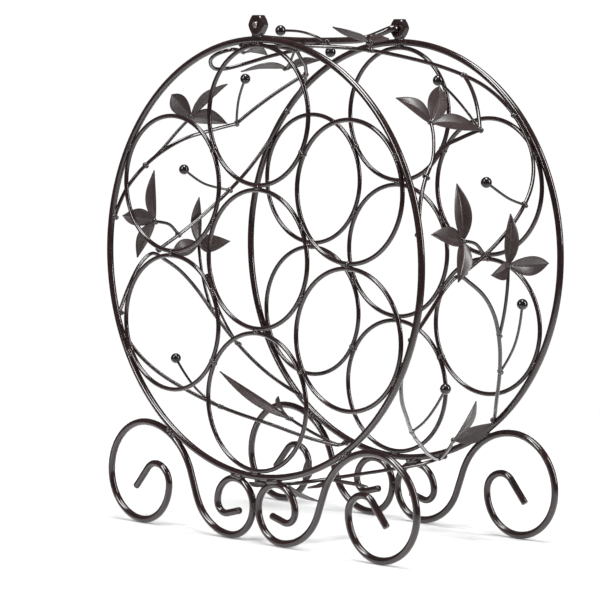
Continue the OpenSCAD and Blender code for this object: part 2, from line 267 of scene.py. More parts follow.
class ShapeTree:
    """A geometry node tree with named inputs, whose result is turned into a plain mesh."""

    def __init__(self, name: str) -> None:
        """Start an empty tree with a geometry input and output."""
        self.tree = bpy.data.node_groups.new(name, "GeometryNodeTree")
        face = self.tree.interface
        face.new_socket("Geometry", in_out="INPUT", socket_type="NodeSocketGeometry")
        face.new_socket("Geometry", in_out="OUTPUT", socket_type="NodeSocketGeometry")
        self.inputs: dict[str, str] = {}
        self.enter = self.add("NodeGroupInput")
        self.leave = self.add("NodeGroupOutput")

    def add(self, kind: str) -> bpy.types.Node:
        """Add one node of the given kind."""
        return self.tree.nodes.new(kind)

    def join(self, start: bpy.types.NodeSocket, end: bpy.types.NodeSocket) -> None:
        """Link two sockets."""
        self.tree.links.new(start, end)

    def ask(self, kind: str, *names: str) -> None:
        """Add named inputs of one kind to the tree.

        Args:
            kind: Their socket type.
            *names: The inputs' names.
        """
        for name in names:
            socket = self.tree.interface.new_socket(name, in_out="INPUT", socket_type=kind)
            self.inputs[name] = socket.identifier

    def sum_of(self, operation: str, first: bpy.types.NodeSocket | float,
               second: bpy.types.NodeSocket | float) -> bpy.types.NodeSocket:
        """Do one sum on two sockets or numbers.

        Args:
            operation: The sum, as the math node spells it.
            first: Its first value.
            second: Its second value.

        Returns:
            The answer's socket.
        """
        node = self.add("ShaderNodeMath")
        node.operation = operation
        for place, value in zip(node.inputs, (first, second)):
            if isinstance(value, float):
                place.default_value = value
            else:
                self.join(value, place)
        return node.outputs[0]

    def lumps(self, shape: bpy.types.NodeSocket, along_normal: bool) -> bpy.types.NodeSocket:
        """Push points about by a seeded noise of depth Wander and Grain features per metre.

        Args:
            shape: The geometry to disturb.
            along_normal: Whether points move along their normals only.

        Returns:
            The disturbed geometry.
        """
        noise = self.add("ShaderNodeTexNoise")
        noise.noise_dimensions = "4D"
        noise.inputs["Detail"].default_value = 1.0
        self.join(self.add("GeometryNodeInputPosition").outputs[0], noise.inputs["Vector"])
        self.join(self.enter.outputs["Seed"], noise.inputs["W"])
        self.join(self.enter.outputs["Grain"], noise.inputs["Scale"])
        move = self.add("GeometryNodeSetPosition")
        self.join(shape, move.inputs["Geometry"])
        scaled = self.add("ShaderNodeVectorMath")
        scaled.operation = "SCALE"
        if along_normal:
            value = self.sum_of("SUBTRACT", noise.outputs["Fac"], 0.5)
            depth = self.sum_of("MULTIPLY", value, self.enter.outputs["Wander"])
            self.join(self.add("GeometryNodeInputNormal").outputs[0], scaled.inputs[0])
            self.join(depth, scaled.inputs["Scale"])
        else:
            centred = self.add("ShaderNodeVectorMath")
            centred.operation = "SUBTRACT"
            centred.inputs[1].default_value = (0.5, 0.5, 0.5)
            self.join(noise.outputs["Color"], centred.inputs[0])
            self.join(centred.outputs[0], scaled.inputs[0])
            self.join(self.enter.outputs["Wander"], scaled.inputs["Scale"])
        self.join(scaled.outputs[0], move.inputs["Offset"])
        return move.outputs["Geometry"]

    def finish(self, shape: bpy.types.NodeSocket) -> None:
        """End the tree: smooth shading, real geometry and the asked material."""
        smooth = self.add("GeometryNodeSetShadeSmooth")
        real = self.add("GeometryNodeRealizeInstances")
        dress = self.add("GeometryNodeSetMaterial")
        self.join(shape, smooth.inputs["Geometry"])
        self.join(smooth.outputs[0], real.inputs["Geometry"])
        self.join(real.outputs[0], dress.inputs["Geometry"])
        self.join(self.enter.outputs["Iron"], dress.inputs["Material"])
        self.join(dress.outputs[0], self.leave.inputs["Geometry"])

    def make(self, name: str, guide: bpy.types.Mesh, finish: LacqueredIron, edge_angle: float,
             **values: float) -> bpy.types.Object:
        """Run the tree over a guide mesh and keep the result as a plain mesh object.

        Args:
            name: Name of the piece.
            guide: Mesh that the tree reads.
            finish: The finish it is dressed in.
            edge_angle: Angle in degrees past which an edge is left crisp.
            **values: The tree's other inputs, by name.

        Returns:
            The finished piece.
        """
        carrier = bpy.data.objects.new(name + "_guide", guide)
        bpy.context.scene.collection.objects.link(carrier)
        modifier = carrier.modifiers.new("shape", "NODES")
        modifier.node_group = self.tree
        material = finish.material()
        modifier[self.inputs["Iron"]] = material
        for word, value in values.items():
            modifier[self.inputs[word]] = value
        graph = bpy.context.evaluated_depsgraph_get()
        mesh = bpy.data.meshes.new_from_object(carrier.evaluated_get(graph))
        mesh.name = name
        bpy.data.objects.remove(carrier)
        mesh.materials.clear()
        mesh.materials.append(material)
        mesh.set_sharp_from_angle(angle=math.radians(edge_angle))
        piece = bpy.data.objects.new(name, mesh)
        bpy.context.scene.collection.objects.link(piece)
        return piece


class RodTree(ShapeTree):
    """Draws a round rod along a guide line; the guide's thick attribute swells or thins it."""

    def __init__(self) -> None:
        """Build the tree."""
        super().__init__("rod")
        self.ask("NodeSocketInt", "Sides")
        self.ask("NodeSocketFloat", "Diameter", "Wander", "Grain", "Seed")
        self.ask("NodeSocketMaterial", "Iron")
        line = self.add("GeometryNodeMeshToCurve")
        self.join(self.enter.outputs["Geometry"], line.inputs["Mesh"])
        bent = self.lumps(line.outputs["Curve"], along_normal=False)
        half = self.sum_of("MULTIPLY", self.enter.outputs["Diameter"], 0.5)
        section = self.add("GeometryNodeCurvePrimitiveCircle")
        self.join(self.enter.outputs["Sides"], section.inputs["Resolution"])
        self.join(half, section.inputs["Radius"])
        thick = self.add("GeometryNodeInputNamedAttribute")
        thick.data_type = "FLOAT"
        thick.inputs["Name"].default_value = "thick"
        sweep = self.add("GeometryNodeCurveToMesh")
        sweep.inputs["Fill Caps"].default_value = True
        self.join(bent, sweep.inputs["Curve"])
        self.join(section.outputs["Curve"], sweep.inputs["Profile Curve"])
        self.join(thick.outputs["Attribute"], sweep.inputs["Scale"])
        self.finish(sweep.outputs["Mesh"])

    def rod(self, name: str, lines: Sequence["Line"], finish: LacqueredIron, diameter: float,
            sides: int = 20, wander: float = 0.12 * MM, seed: float = 1.0) -> bpy.types.Object:
        """Make the rods along some lines, as one piece.

        Args:
            name: Name of the piece.
            lines: The lines, open or closed.
            finish: Its finish.
            diameter: Wire thickness in metres.
            sides: Facets round the wire.
            wander: How far the hand-bent wire strays, in metres.
            seed: Which wander it gets.

        Returns:
            The piece.
        """
        return self.make(name, guide_mesh(name, lines), finish, CRISP_CUTS, Diameter=diameter, Sides=sides,
                         Wander=wander, Grain=WANDER_GRAIN, Seed=seed)


class BallTree(ShapeTree):
    """Sets a lumpy ball on each guide point, each one turned and sized a little differently."""

    def __init__(self) -> None:
        """Build the tree."""
        super().__init__("balls")
        self.ask("NodeSocketFloat", "Diameter", "Variety", "Wander", "Grain", "Seed")
        self.ask("NodeSocketMaterial", "Iron")
        half = self.sum_of("MULTIPLY", self.enter.outputs["Diameter"], 0.5)
        ball = self.add("GeometryNodeMeshIcoSphere")
        ball.inputs["Subdivisions"].default_value = 4
        self.join(half, ball.inputs["Radius"])
        low = self.sum_of("SUBTRACT", 1.0, self.enter.outputs["Variety"])
        squash = self.add("FunctionNodeRandomValue")
        squash.data_type = "FLOAT_VECTOR"
        squash.inputs[1].default_value = (1.0, 1.0, 1.0)
        self.join(low, squash.inputs[0])
        turn = self.add("FunctionNodeRandomValue")
        turn.data_type = "FLOAT_VECTOR"
        turn.inputs[1].default_value = (math.tau, math.tau, math.tau)
        place = self.add("GeometryNodeInstanceOnPoints")
        self.join(self.enter.outputs["Geometry"], place.inputs["Points"])
        self.join(ball.outputs["Mesh"], place.inputs["Instance"])
        self.join(turn.outputs[0], place.inputs["Rotation"])
        self.join(squash.outputs[0], place.inputs["Scale"])
        real = self.add("GeometryNodeRealizeInstances")
        self.join(place.outputs["Instances"], real.inputs["Geometry"])
        self.finish(self.lumps(real.outputs["Geometry"], along_normal=True))

    def balls(self, name: str, points: Sequence[Vector], finish: LacqueredIron, diameter: float,
              variety: float, wander: float, grain: float, seed: float = 1.0) -> bpy.types.Object:
        """Make the balls of one piece.

        Args:
            name: Name of the piece.
            points: The balls' middles.
            finish: Their finish.
            diameter: Diameter of the largest ball in metres.
            variety: How much smaller a ball may be each way, from 0 to 1.
            wander: Depth of the lumps in metres.
            grain: Lumps per metre.
            seed: Which lumps they get.

        Returns:
            The piece.
        """
        guide = bpy.data.meshes.new(name + "_guide")
        guide.from_pydata([tuple(p) for p in points], [], [])
        return self.make(name, guide, finish, NEVER_CRISP, Diameter=diameter, Variety=variety,
                         Wander=wander, Grain=grain, Seed=seed)


# --------------------------------------------------------------------------------------------
# Lines that the rods follow
# --------------------------------------------------------------------------------------------

@dataclass
class Line:
    """A polyline through space with a thickness factor at each point."""

    points: list[Vector]
    closed: bool = False
    thick: list[float] = field(default_factory=list)

    def factors(self) -> list[float]:
        """The thickness factors, all 1 where none were given."""
        return self.thick or [1.0] * len(self.points)

    def eased_ends(self, length: float) -> "Line":
        """Round both cut ends over, by thinning the last stretch and adding points there.

        Args:
            length: How far back from an end the rounding starts, in metres.

        Returns:
            The line itself.
        """
        points, thick = list(self.points), self.factors()
        shares = (0.0, 0.12, 0.35, 0.7, 1.0)
        # Each turn rounds the first end and then swaps the ends over.
        for _ in range(2):
            tip = points[0]
            back = (points[1] - tip).normalized()
            points[:1] = [tip + back * length * f for f in shares]
            thick[:1] = [math.sqrt(max(0.0, 1 - (1 - f) ** 2)) * 0.45 + 0.55 for f in shares]
            points.reverse()
            thick.reverse()
        self.points, self.thick = points, thick
        return self


def guide_mesh(name: str, lines: Sequence[Line]) -> bpy.types.Mesh:
    """Turn lines into a mesh of edges with the thick attribute.

    Args:
        name: Name for the mesh.
        lines: The lines.

    Returns:
        The guide mesh.
    """
    points: list[tuple[float, ...]] = []
    edges: list[tuple[int, int]] = []
    thick: list[float] = []
    for line in lines:
        first = len(points)
        count = len(line.points)
        points += [tuple(p) for p in line.points]
        thick += line.factors()
        edges += [(first + i, first + i + 1) for i in range(count - 1)]
        if line.closed:
            edges.append((first + count - 1, first))
    mesh = bpy.data.meshes.new(name + "_guide")
    mesh.from_pydata(points, edges, [])
    layer = mesh.attributes.new("thick", "FLOAT", "POINT")
    layer.data.foreach_set("value", thick)
    return mesh


def circle_line(middle: Vector, radius: float, count: int) -> Line:
    """A closed circle that stands in a frame's plane.

    Args:
        middle: Its middle.
        radius: Its radius in metres.
        count: Number of points.

    Returns:
        The line.
    """
    turns = [math.tau * i / count for i in range(count)]
    return Line([middle + Vector((radius * math.sin(a), 0.0, radius * math.cos(a))) for a in turns], True)


def smooth_line(places: Sequence[Sequence[float]], steps: int) -> list[list[float]]:
    """Pass a smooth curve through the listed values.

    Args:
        places: The values it passes through.
        steps: Points from one value to the next.

    Returns:
        The curve's points.
    """
    last = len(places) - 1
    out: list[list[float]] = []
    for i in range(last):
        a, b = places[max(i - 1, 0)], places[i]
        c, d = places[i + 1], places[min(i + 2, last)]
        for k in range(steps):
            t = k / steps
            out.append([0.5 * (2 * q + (r - p) * t + (2 * p - 5 * q + 4 * r - s) * t * t
                               + (3 * q - p - 3 * r + s) * t ** 3)
                        for p, q, r, s in zip(a, b, c, d)])
    out.append(list(places[last]))
    return out


class Bender:
    """Bends a rod in a plane: tangent arcs and straight lengths, one after the other."""

    def __init__(self, x: float, z: float, heading: float) -> None:
        """Start at a point, facing heading degrees up from +X."""
        self.x, self.z, self.heading = x, z, heading
        self.points: list[tuple[float, float]] = [(x, z)]

    def straight(self, length: float, cuts: int = 6) -> "Bender":
        """Go straight on.

        Args:
            length: How far.
            cuts: Points added on the way.

        Returns:
            The bender itself.
        """
        run = math.radians(self.heading)
        x, z = self.x, self.z
        for k in range(1, cuts + 1):
            self.x = x + length * k / cuts * math.cos(run)
            self.z = z + length * k / cuts * math.sin(run)
            self.points.append((self.x, self.z))
        return self

    def arc(self, radius: float, turn: float, corner: float = 4.0) -> "Bender":
        """Turn along an arc.

        Args:
            radius: Radius of the arc.
            turn: Degrees turned, positive to the left.
            corner: Most degrees between two points.

        Returns:
            The bender itself.
        """
        side = math.copysign(1.0, turn)
        run = math.radians(self.heading)
        middle_x = self.x - side * radius * math.sin(run)
        middle_z = self.z + side * radius * math.cos(run)
        cuts = math.ceil(abs(turn) / corner)
        for k in range(1, cuts + 1):
            run = math.radians(self.heading + turn * k / cuts)
            self.x = middle_x + side * radius * math.sin(run)
            self.z = middle_z - side * radius * math.cos(run)
            self.points.append((self.x, self.z))
        self.heading += turn
        return self


def _mid(low: float, high: float) -> float:
    """Halfway between two numbers."""
    return (low + high) / 2


@dataclass
class Layout:
    """The rack's leading sizes, all read off the frame's boxes."""

    ring_wire: float
    ring_r: float
    cell_wire: float
    cell_r: float
    foot_wire: float
    ring_h: float
    hinge_h: float
    y: dict[Side, float]
    rod_d: float = 5.5 * MM

    @classmethod
    def measure(cls) -> "Layout":
        """Read every size off the frame.

        Returns:
            The filled-in layout.
        """
        low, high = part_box("front_ring")
        cell_low, cell_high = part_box("front_cell_middle")
        foot_low, foot_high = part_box("front_right_foot")
        nut_low, nut_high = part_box("front_hinge_nut")
        ring_wire = high.y - low.y
        cell_wire = cell_high.y - cell_low.y
        rear_low, rear_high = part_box("rear_ring")
        return cls(
            ring_wire=ring_wire, ring_r=(high.z - low.z - ring_wire) / 2,
            cell_wire=cell_wire, cell_r=(cell_high.z - cell_low.z - cell_wire) / 2,
            foot_wire=foot_high.y - foot_low.y,
            ring_h=_mid(low.z, high.z), hinge_h=_mid(nut_low.z, nut_high.z),
            y={Side.FRONT: _mid(low.y, high.y), Side.REAR: _mid(rear_low.y, rear_high.y)})

    @property
    def gap(self) -> float:
        """Distance between the two frames."""
        return self.y[Side.REAR] - self.y[Side.FRONT]

    @property
    def pitch(self) -> float:
        """Distance between the middles of two bottle rings that touch."""
        return 2 * self.cell_r + self.cell_wire

    def polar(self, side: Side, radius: float, bearing: float) -> Vector:
        """A point in a frame's plane.

        Args:
            side: Which frame.
            radius: Distance from the big ring's middle.
            bearing: Degrees from the top, clockwise seen from the front.

        Returns:
            The point.
        """
        a = math.radians(bearing)
        return Vector((radius * math.sin(a), self.y[side], self.ring_h + radius * math.cos(a)))

    def drum(self, place: Place, hand: Hand = Hand.RIGHT) -> Vector:
        """A place on the drum that the vines lie on.

        Args:
            place: Bearing from the top in degrees, depth behind the front frame and lift off the
                drum in millimetres; the lift may be left out.
            hand: Which half of the rack.

        Returns:
            The point.
        """
        lift = place[2] if len(place) > 2 else 0.0
        radius = self.ring_r - self.ring_wire / 2 + (0.1 + lift) * MM
        a = math.radians(place[0])
        return Vector((hand.value * radius * math.sin(a), self.y[Side.FRONT] + place[1] / 158 * self.gap,
                       self.ring_h + radius * math.cos(a)))

    def outward(self, point: Vector) -> Vector:
        """The drum's outward direction at a point."""
        return Vector((point.x, 0.0, point.z - self.ring_h)).normalized()


class Workshop:
    """Holds the layout and the node trees, and joins finished pieces to the rack's bodies."""

    def __init__(self) -> None:
        """Measure the frame and build the trees."""
        self.sizes = Layout.measure()
        self.rods = RodTree()
        self.balls = BallTree()

    def fit(self, piece: bpy.types.Object, body: Body, finish: LacqueredIron, *nodes: str) -> None:
        """Join a piece to its body and let it stand for its frame nodes.

        Args:
            piece: The finished piece.
            body: The body it moves with.
            finish: Its finish; not used.
            *nodes: The nodes it stands for.
        """
        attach(piece, body.value)
        if nodes:
            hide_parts(*nodes)
        log.info("%s: %d faces on %s", piece.name, len(piece.data.polygons), body.value)


# --------------------------------------------------------------------------------------------
# Ring frames
# --------------------------------------------------------------------------------------------

@dataclass
class RingFrame:
    """One frame: a big ring, seven bottle rings inside it and the weld beads that join them."""

    shop: Workshop
    side: Side
    bearings: tuple[int, ...] = (0, 60, 120, 180, 240, 300)
    names: tuple[str, ...] = ("top", "upper_right", "lower_right", "bottom", "lower_left", "upper_left")
    bead_d: float = 5.0 * MM
    bead_variety: float = 0.18
    bead_lumps: float = 0.9 * MM
    lump_grain: float = 260.0
    bead_pitch: float = 1.5 * MM

    def build(self) -> None:
        """Make the rings and the welds."""
        self._ring()
        self._cells()
        self._welds()

    def _ring(self) -> None:
        """The big ring, bent from one rod."""
        sizes = self.shop.sizes
        node = f"{self.side.value}_ring"
        middle = sizes.polar(self.side, 0.0, 0.0)
        line = circle_line(middle, sizes.ring_r, 200)
        piece = self.shop.rods.rod(node + "_rod", [line], WIRE_IRON, sizes.ring_wire, 24,
                                   seed=3.0 if self.side is Side.FRONT else 7.0)
        self.shop.fit(piece, Body.RACK, WIRE_IRON, node)

    def _cells(self) -> None:
        """The seven bottle rings."""
        sizes = self.shop.sizes
        spots = [("middle", sizes.polar(self.side, 0.0, 0.0))]
        spots += [(n, sizes.polar(self.side, sizes.pitch, b)) for n, b in zip(self.names, self.bearings)]
        for i, (name, middle) in enumerate(spots):
            node = f"{self.side.value}_cell_{name}"
            line = circle_line(middle, sizes.cell_r, 128)
            piece = self.shop.rods.rod(node + "_rod", [line], WIRE_IRON, sizes.cell_wire, 18, seed=11.0 + i)
            self.shop.fit(piece, Body.RACK, WIRE_IRON, node)

    def _welds(self) -> None:
        """Beads where bottle rings touch each other and the big ring."""
        sizes = self.shop.sizes
        middle = sizes.polar(self.side, 0.0, 0.0)
        beads: list[Vector] = []
        for bearing in self.bearings:
            contacts = (
                (1, sizes.polar(self.side, sizes.pitch / 2, bearing)),
                (-1, sizes.polar(self.side, sizes.pitch * math.cos(math.radians(30)), bearing + 30)),
                (1, sizes.polar(self.side, sizes.ring_r - sizes.ring_wire / 2, bearing)))
            for way, point in contacts:
                along = (point - middle).normalized()
                across = Vector((along.z, 0.0, -along.x)) * way
                beads += [point + across * s * self.bead_pitch for s in (-1, 0, 1)]
        node = f"{self.side.value}_welds"
        piece = self.shop.balls.balls(node + "_beads", beads, WELD_IRON, self.bead_d, self.bead_variety,
                                      self.bead_lumps, self.lump_grain, seed=2.0)
        self.shop.fit(piece, Body.RACK, WELD_IRON, node)


# --------------------------------------------------------------------------------------------
# Feet
# --------------------------------------------------------------------------------------------

@dataclass
class ScrollFoot:
    """One foot: a single rod bent into an outer and an inner scroll. Radii are in millimetres."""

    shop: Workshop
    side: Side
    hand: Hand
    rise_radii: tuple[float, float, float] = (36.0, 42.0, 53.0)
    curl_radii: tuple[float, float, float] = (31.0, 15.0, 12.0)
    curl_turns: tuple[float, float, float] = (90.0, 90.0, 50.0)
    curl_tail: float = 22.0
    inner_radii: tuple[float, float, float] = (19.5, 19.0, 9.0)
    inner_turns: tuple[float, float, float] = (90.0, 90.0, 105.0)
    inner_tail: float = 14.0
    floor_bend_r: float = 40.0
    stem_lean: float = 20.0
    twin_gap: float = 0.4
    weld_reach: float = 0.35
    bead_d: float = 5.2

    def path(self) -> list[tuple[float, float]]:
        """Bend the rod from its outer tail to its inner tail.

        Returns:
            Points in the frame's plane, as x and z in metres.
        """
        sizes = self.shop.sizes
        first, second, third = (r * MM for r in self.rise_radii)
        floor = sizes.foot_wire / 2
        middle_z = floor + first + second - third
        touch = sizes.ring_r + (sizes.ring_wire + sizes.foot_wire) / 2 + third
        middle_x = math.sqrt(touch ** 2 - (sizes.ring_h - middle_z) ** 2)
        foot_x = middle_x + second - first
        curl = Bender(foot_x, floor, 180.0)
        for radius, turn in zip(self.curl_radii, self.curl_turns):
            curl.arc(radius * MM, -turn)
        curl.straight(self.curl_tail * MM)
        heading = math.radians(270.0 - self.stem_lean)
        top_x = middle_x + third * math.sin(heading)
        top_z = middle_z - third * math.cos(heading)
        bend = self.floor_bend_r * MM
        stem = (top_z - floor - bend * (1 + math.cos(heading))) / -math.sin(heading)
        bend_x = top_x + stem * math.cos(heading) + bend * math.sin(heading)
        out = Bender(foot_x, floor, 0.0)
        out.arc(first, 90.0).arc(second, 90.0).arc(third, 90.0 - self.stem_lean)
        out.straight(stem).arc(bend, self.stem_lean - 90.0)
        out.arc(bend_x - floor - self.twin_gap / 2 * MM, -90.0)
        for radius, turn in zip(self.inner_radii, self.inner_turns):
            out.arc(radius * MM, -turn)
        out.straight(self.inner_tail * MM)
        return list(reversed(curl.points)) + out.points[1:]

    def build(self) -> None:
        """Make the rod and the beads that weld it to its ring."""
        sizes = self.shop.sizes
        node = f"{self.side.value}_{self.hand.word}_foot"
        path = self.path()
        y = sizes.y[self.side]
        line = Line([Vector((self.hand.value * x, y, z)) for x, z in path]).eased_ends(1.2 * MM)
        piece = self.shop.rods.rod(node + "_rod", [line], WIRE_IRON, sizes.foot_wire, 24, wander=0.0)
        self.shop.fit(piece, Body.RACK, WIRE_IRON, node)
        welds = self.shop.balls.balls(node + "_welds", self._beads(path), WELD_IRON, self.bead_d * MM,
                                      variety=0.2, wander=1.0 * MM, grain=240.0, seed=5.0)
        self.shop.fit(welds, Body.RACK, WELD_IRON)

    def _beads(self, path: Sequence[tuple[float, float]]) -> list[Vector]:
        """Where the rod comes close to the big ring or to its twin, which is where it is welded.

        Args:
            path: The rod's path.

        Returns:
            The middles of the weld beads.
        """
        sizes = self.shop.sizes
        reach = (sizes.ring_wire + sizes.foot_wire) / 2 + self.weld_reach * MM
        beads: list[Vector] = []
        for x, z in path:
            from_middle = math.hypot(x, z - sizes.ring_h)
            near_twin = x < sizes.foot_wire / 2 + 0.3 * MM
            if abs(from_middle - sizes.ring_r) < reach:
                keep = (sizes.ring_r + sizes.ring_wire / 2) / from_middle
                spot = (x * keep, sizes.ring_h + (z - sizes.ring_h) * keep)
            elif near_twin:
                spot = (0.0, z)
            else:
                continue
            for dy in (-1.3 * MM, 1.3 * MM):
                beads.append(Vector((self.hand.value * spot[0], sizes.y[self.side] + dy, spot[1])))
        return beads


# --------------------------------------------------------------------------------------------
# Hinge
# --------------------------------------------------------------------------------------------

@dataclass
class HingeNut:
    """A hex nut with bevelled corners, welded on a ring's crown as the eye of the hinge."""

    shop: Workshop
    side: Side
    bore_r: float = 2.83 * MM
    bevel_rise: float = math.tan(math.radians(30.0))
    mouth: float = 0.55 * MM
    face_share: float = 0.965
    cuts: int = 96
    # The weld under the nut: share of its height, half length and half width in millimetres.
    seat: tuple[Place, ...] = (
        (0.0, 11.5, 2.5), (0.12, 9.5, 2.5), (0.25, 7.7, 2.4), (0.42, 6.0, 2.3), (0.6, 5.1, 2.3),
        (0.8, 4.8, 2.5), (1.0, 5.0, 2.8))
    seat_cuts: int = 48

    def build(self) -> None:
        """Make the nut as one closed skin round its bore."""
        node = f"{self.side.value}_hinge_nut"
        low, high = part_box(node)
        flat = (high.z - low.z) / 2
        half_t = (high.y - low.y) / 2
        middle = Vector((0.0, _mid(low.y, high.y), _mid(low.z, high.z)))
        face_r = flat * self.face_share
        verts: list[Vector] = []
        for i in range(self.cuts):
            a = math.tau * i / self.cuts
            # Distance to the hexagon's edge; its flats lie at the top and the bottom.
            off = (a + math.pi / 6) % (math.pi / 3) - math.pi / 6
            edge = flat / math.cos(off)
            drop = max(0.0, (edge - face_r) * self.bevel_rise)
            face = min(edge, face_r)
            profile = (
                (self.bore_r, -half_t + self.mouth), (self.bore_r + self.mouth, -half_t), (face, -half_t),
                (edge, -half_t + drop), (edge, half_t - drop), (face, half_t),
                (self.bore_r + self.mouth, half_t), (self.bore_r, half_t - self.mouth))
            for radius, y in profile:
                verts.append(middle + Vector((radius * math.sin(a), y, radius * math.cos(a))))
        rows = len(verts) // self.cuts
        faces = []
        for i in range(self.cuts):
            j = (i + 1) % self.cuts
            for k in range(rows):
                n = (k + 1) % rows
                faces.append((i * rows + k, i * rows + n, j * rows + n, j * rows + k))
        piece = mesh_piece(node + "_iron", verts, faces, PIN_IRON, CRISP_FACETS)
        self.shop.fit(piece, Body.RACK, PIN_IRON, node)
        self._seat(middle, middle.z - flat)

    def _seat(self, middle: Vector, top: float) -> None:
        """The weld under the nut: a waisted saddle that flares out along the ring.

        Args:
            middle: The nut's middle.
            top: Height of the nut's underside.
        """
        sizes = self.shop.sizes
        foot = sizes.ring_h + sizes.ring_r + sizes.ring_wire * 0.2
        height = top + 0.3 * MM - foot
        spans = smooth_line(self.seat, 4)
        verts: list[Vector] = []
        for rise, half_x, half_y in spans:
            sag = sizes.ring_r - math.sqrt(sizes.ring_r ** 2 - (half_x * MM) ** 2)
            for i in range(self.seat_cuts):
                a = math.tau * i / self.seat_cuts
                lump = 1 + 0.05 * math.sin(5 * a + 9 * rise) * math.sin(3.1 * a + 4)
                x, y = half_x * MM * math.cos(a) * lump, half_y * MM * math.sin(a) * lump
                verts.append(Vector((x, middle.y + y, foot - sag * abs(math.cos(a)) + height * rise)))
        faces = skin_faces(0, len(spans), self.seat_cuts)
        piece = mesh_piece(f"{self.side.value}_nut_weld", verts, faces, WELD_IRON, CRISP_RIMS)
        self.shop.fit(piece, Body.RACK, WELD_IRON)


@dataclass
class Handle:
    """The carry handle: a bowed rod whose turned-out ends run through the nuts."""

    shop: Workshop
    rise: float = 29.0 * MM
    bend_r: float = 6.0 * MM
    corner_r: float = 14.0 * MM
    arm_turn: float = 74.0
    bow_turn: float = 8.0
    rest_dip: float = 22.0
    shoulder: float = 1.0 * MM
    tip: float = 0.7 * MM
    # A pin end's rounding: share of the rod's radius, and depth as a share of the tip.
    tip_rounding: tuple[tuple[float, float], ...] = (
        (0.86, 2.6), (0.93, 1.0), (0.90, 0.5), (0.76, 0.2), (0.5, 0.06), (0.22, 0.01))
    tip_cuts: int = 40

    def build(self) -> None:
        """Bend the rod, lay it in its folded place and join it to its body."""
        sizes = self.shop.sizes
        nut_low, nut_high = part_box("front_hinge_nut")
        low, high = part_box("handle")
        half = sizes.gap / 2 - (nut_high.y - nut_low.y) / 2 - self.shoulder
        pin = (high.y - low.y) / 2 - half
        arm, bow_r = self._arm_and_bow(half)
        corner = self.bow_turn - self.arm_turn
        self._tips(half + pin)
        pin -= self.tip
        out = Bender(-half - pin, 0.0, 0.0)
        out.straight(pin, 4).arc(self.bend_r, self.arm_turn).straight(arm, 3).arc(self.corner_r, corner)
        out.arc(bow_r, -2 * self.bow_turn, 1.0)
        out.arc(self.corner_r, corner).straight(arm, 3).arc(self.bend_r, self.arm_turn).straight(pin, 4)
        dip = math.radians(self.rest_dip)
        points = [Vector((-s * math.cos(dip), along, sizes.hinge_h - s * math.sin(dip)))
                  for along, s in out.points]
        line = Line(points).eased_ends(0.9 * MM)
        piece = self.shop.rods.rod("handle_rod", [line], WIRE_IRON, sizes.rod_d, 28, wander=0.0)
        self.shop.fit(piece, Body.HANDLE, WIRE_IRON, "handle")

    def _tips(self, reach: float) -> None:
        """The hammered pin ends, rubbed bare of lacquer.

        Args:
            reach: Distance from the rack's middle to the end of a pin.
        """
        sizes = self.shop.sizes
        verts: list[Vector] = []
        faces: list[tuple[int, ...]] = []
        for sign in (-1, 1):
            faces += skin_faces(len(verts), len(self.tip_rounding), self.tip_cuts)
            for share, depth in self.tip_rounding:
                for i in range(self.tip_cuts):
                    a = sign * math.tau * i / self.tip_cuts
                    radius = sizes.rod_d / 2 * share * (1 + 0.03 * math.sin(3 * a + sign))
                    verts.append(Vector((radius * math.sin(a), sign * (reach - self.tip * depth),
                                         sizes.hinge_h + radius * math.cos(a))))
        piece = mesh_piece("handle_pin_ends", verts, faces, BARE_IRON, CRISP_RIMS)
        self.shop.fit(piece, Body.HANDLE, BARE_IRON)

    def _arm_and_bow(self, half: float) -> tuple[float, float]:
        """Work out the straight arms and the shallow arc that give the grip its rise.

        Args:
            half: Half the grip's length in metres.

        Returns:
            Length of an arm and radius of the arc, in metres.
        """
        lean, bow = math.radians(self.arm_turn), math.radians(self.bow_turn)
        rise = self.bend_r * (1 - math.cos(lean)) + self.corner_r * (math.cos(bow) - math.cos(lean))
        reach = self.bend_r * math.sin(lean) + self.corner_r * (math.sin(lean) - math.sin(bow))
        slope = math.tan(bow / 2)
        arm = (self.rise - rise - slope * (half - reach)) / (math.sin(lean) - slope * math.cos(lean))
        return arm, (half - reach - arm * math.cos(lean)) / math.sin(bow)


def skin_faces(first: int, rows: int, around: int) -> list[tuple[int, ...]]:
    """Faces of a closed skin made of rows of points, with a flat cap at each end.

    Args:
        first: Number of its first point.
        rows: How many rows it has.
        around: Points in a row.

    Returns:
        The faces.
    """
    faces: list[tuple[int, ...]] = []
    for row in range(first, first + (rows - 1) * around, around):
        for k in range(around):
            n = (k + 1) % around
            faces.append((row + k, row + n, row + around + n, row + around + k))
    last = first + (rows - 1) * around
    faces.append(tuple(range(first + around - 1, first - 1, -1)))
    faces.append(tuple(range(last, last + around)))
    return faces


def mesh_piece(name: str, verts: Sequence[Vector], faces: Sequence[tuple[int, ...]], finish: LacqueredIron,
               edge_angle: float) -> bpy.types.Object:
    """Make a smooth-shaded mesh object with a finish.

    Args:
        name: Name of the piece.
        verts: Its points.
        faces: Its faces, facing outwards.
        finish: Its finish.
        edge_angle: Angle in degrees past which an edge is left crisp.

    Returns:
        The piece.
    """
    mesh = bpy.data.meshes.new(name)
    mesh.from_pydata([tuple(v) for v in verts], [], faces)
    mesh.materials.append(finish.material())
    mesh.shade_smooth()
    mesh.set_sharp_from_angle(angle=math.radians(edge_angle))
    piece = bpy.data.objects.new(name, mesh)
    bpy.context.scene.collection.objects.link(piece)
    return piece


# --------------------------------------------------------------------------------------------
# Leaves
# --------------------------------------------------------------------------------------------

@dataclass(frozen=True)
class Leaf:
    """A stamped leaf: its root and tip on the drum, and how it is bowed and turned."""

    root: Place
    tip: Place
    width: float = 13.0
    bow: float = 2.0
    roll: float = 0.0


